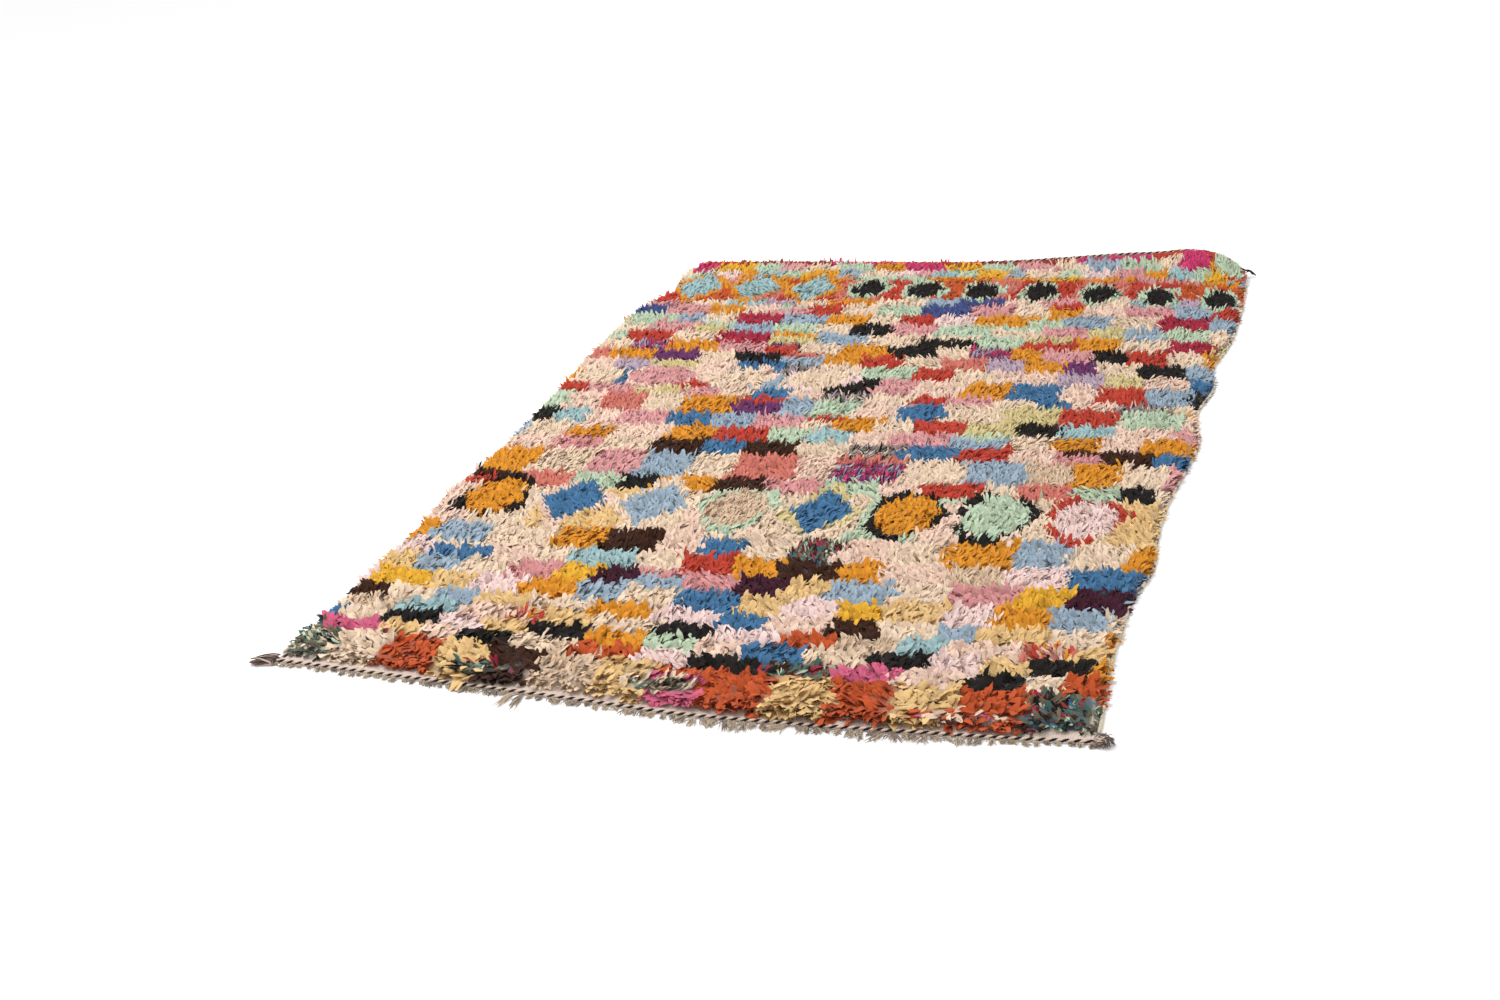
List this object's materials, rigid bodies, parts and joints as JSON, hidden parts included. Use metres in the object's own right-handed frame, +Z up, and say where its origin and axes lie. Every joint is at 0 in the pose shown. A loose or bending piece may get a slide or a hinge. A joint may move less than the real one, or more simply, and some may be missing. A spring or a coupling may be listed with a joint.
{
  "type": "boucherouite rug",
  "caption": "Flat hand-knotted rag rug with a shaggy pile, corded ends, a short fringe at one end, overcast sides and a small ripple at one far corner.",
  "frame": {"origin": "on the floor, under the middle of the rug's outline", "axes": "+Z up from the underside to the pile, +Y along the rug from the fringed near end to the plain far end, +X to the right as seen from the fringed end"},
  "size_m": [1.5689, 2.5911, 0.0722],
  "materials": {
    "rag_pile": "cut rag strips in many colours, matt",
    "twined_cord": "twined dark and cream yarn, matt",
    "selvedge": "overcast cream yarn, matt",
    "warp_ends": "grey-brown wool, matt",
    "brown_yarn": "dark brown wool, matt"
  },
  "bodies": {
    "root": {"rug_body": "rag_pile", "near_twined_cord": "twined_cord", "far_twined_cord": "twined_cord", "left_selvedge": "selvedge", "right_selvedge": "selvedge", "near_fringe": "warp_ends", "corner_tassel": "brown_yarn", "corner_tail": "brown_yarn"}
  },
  "joints": []
}
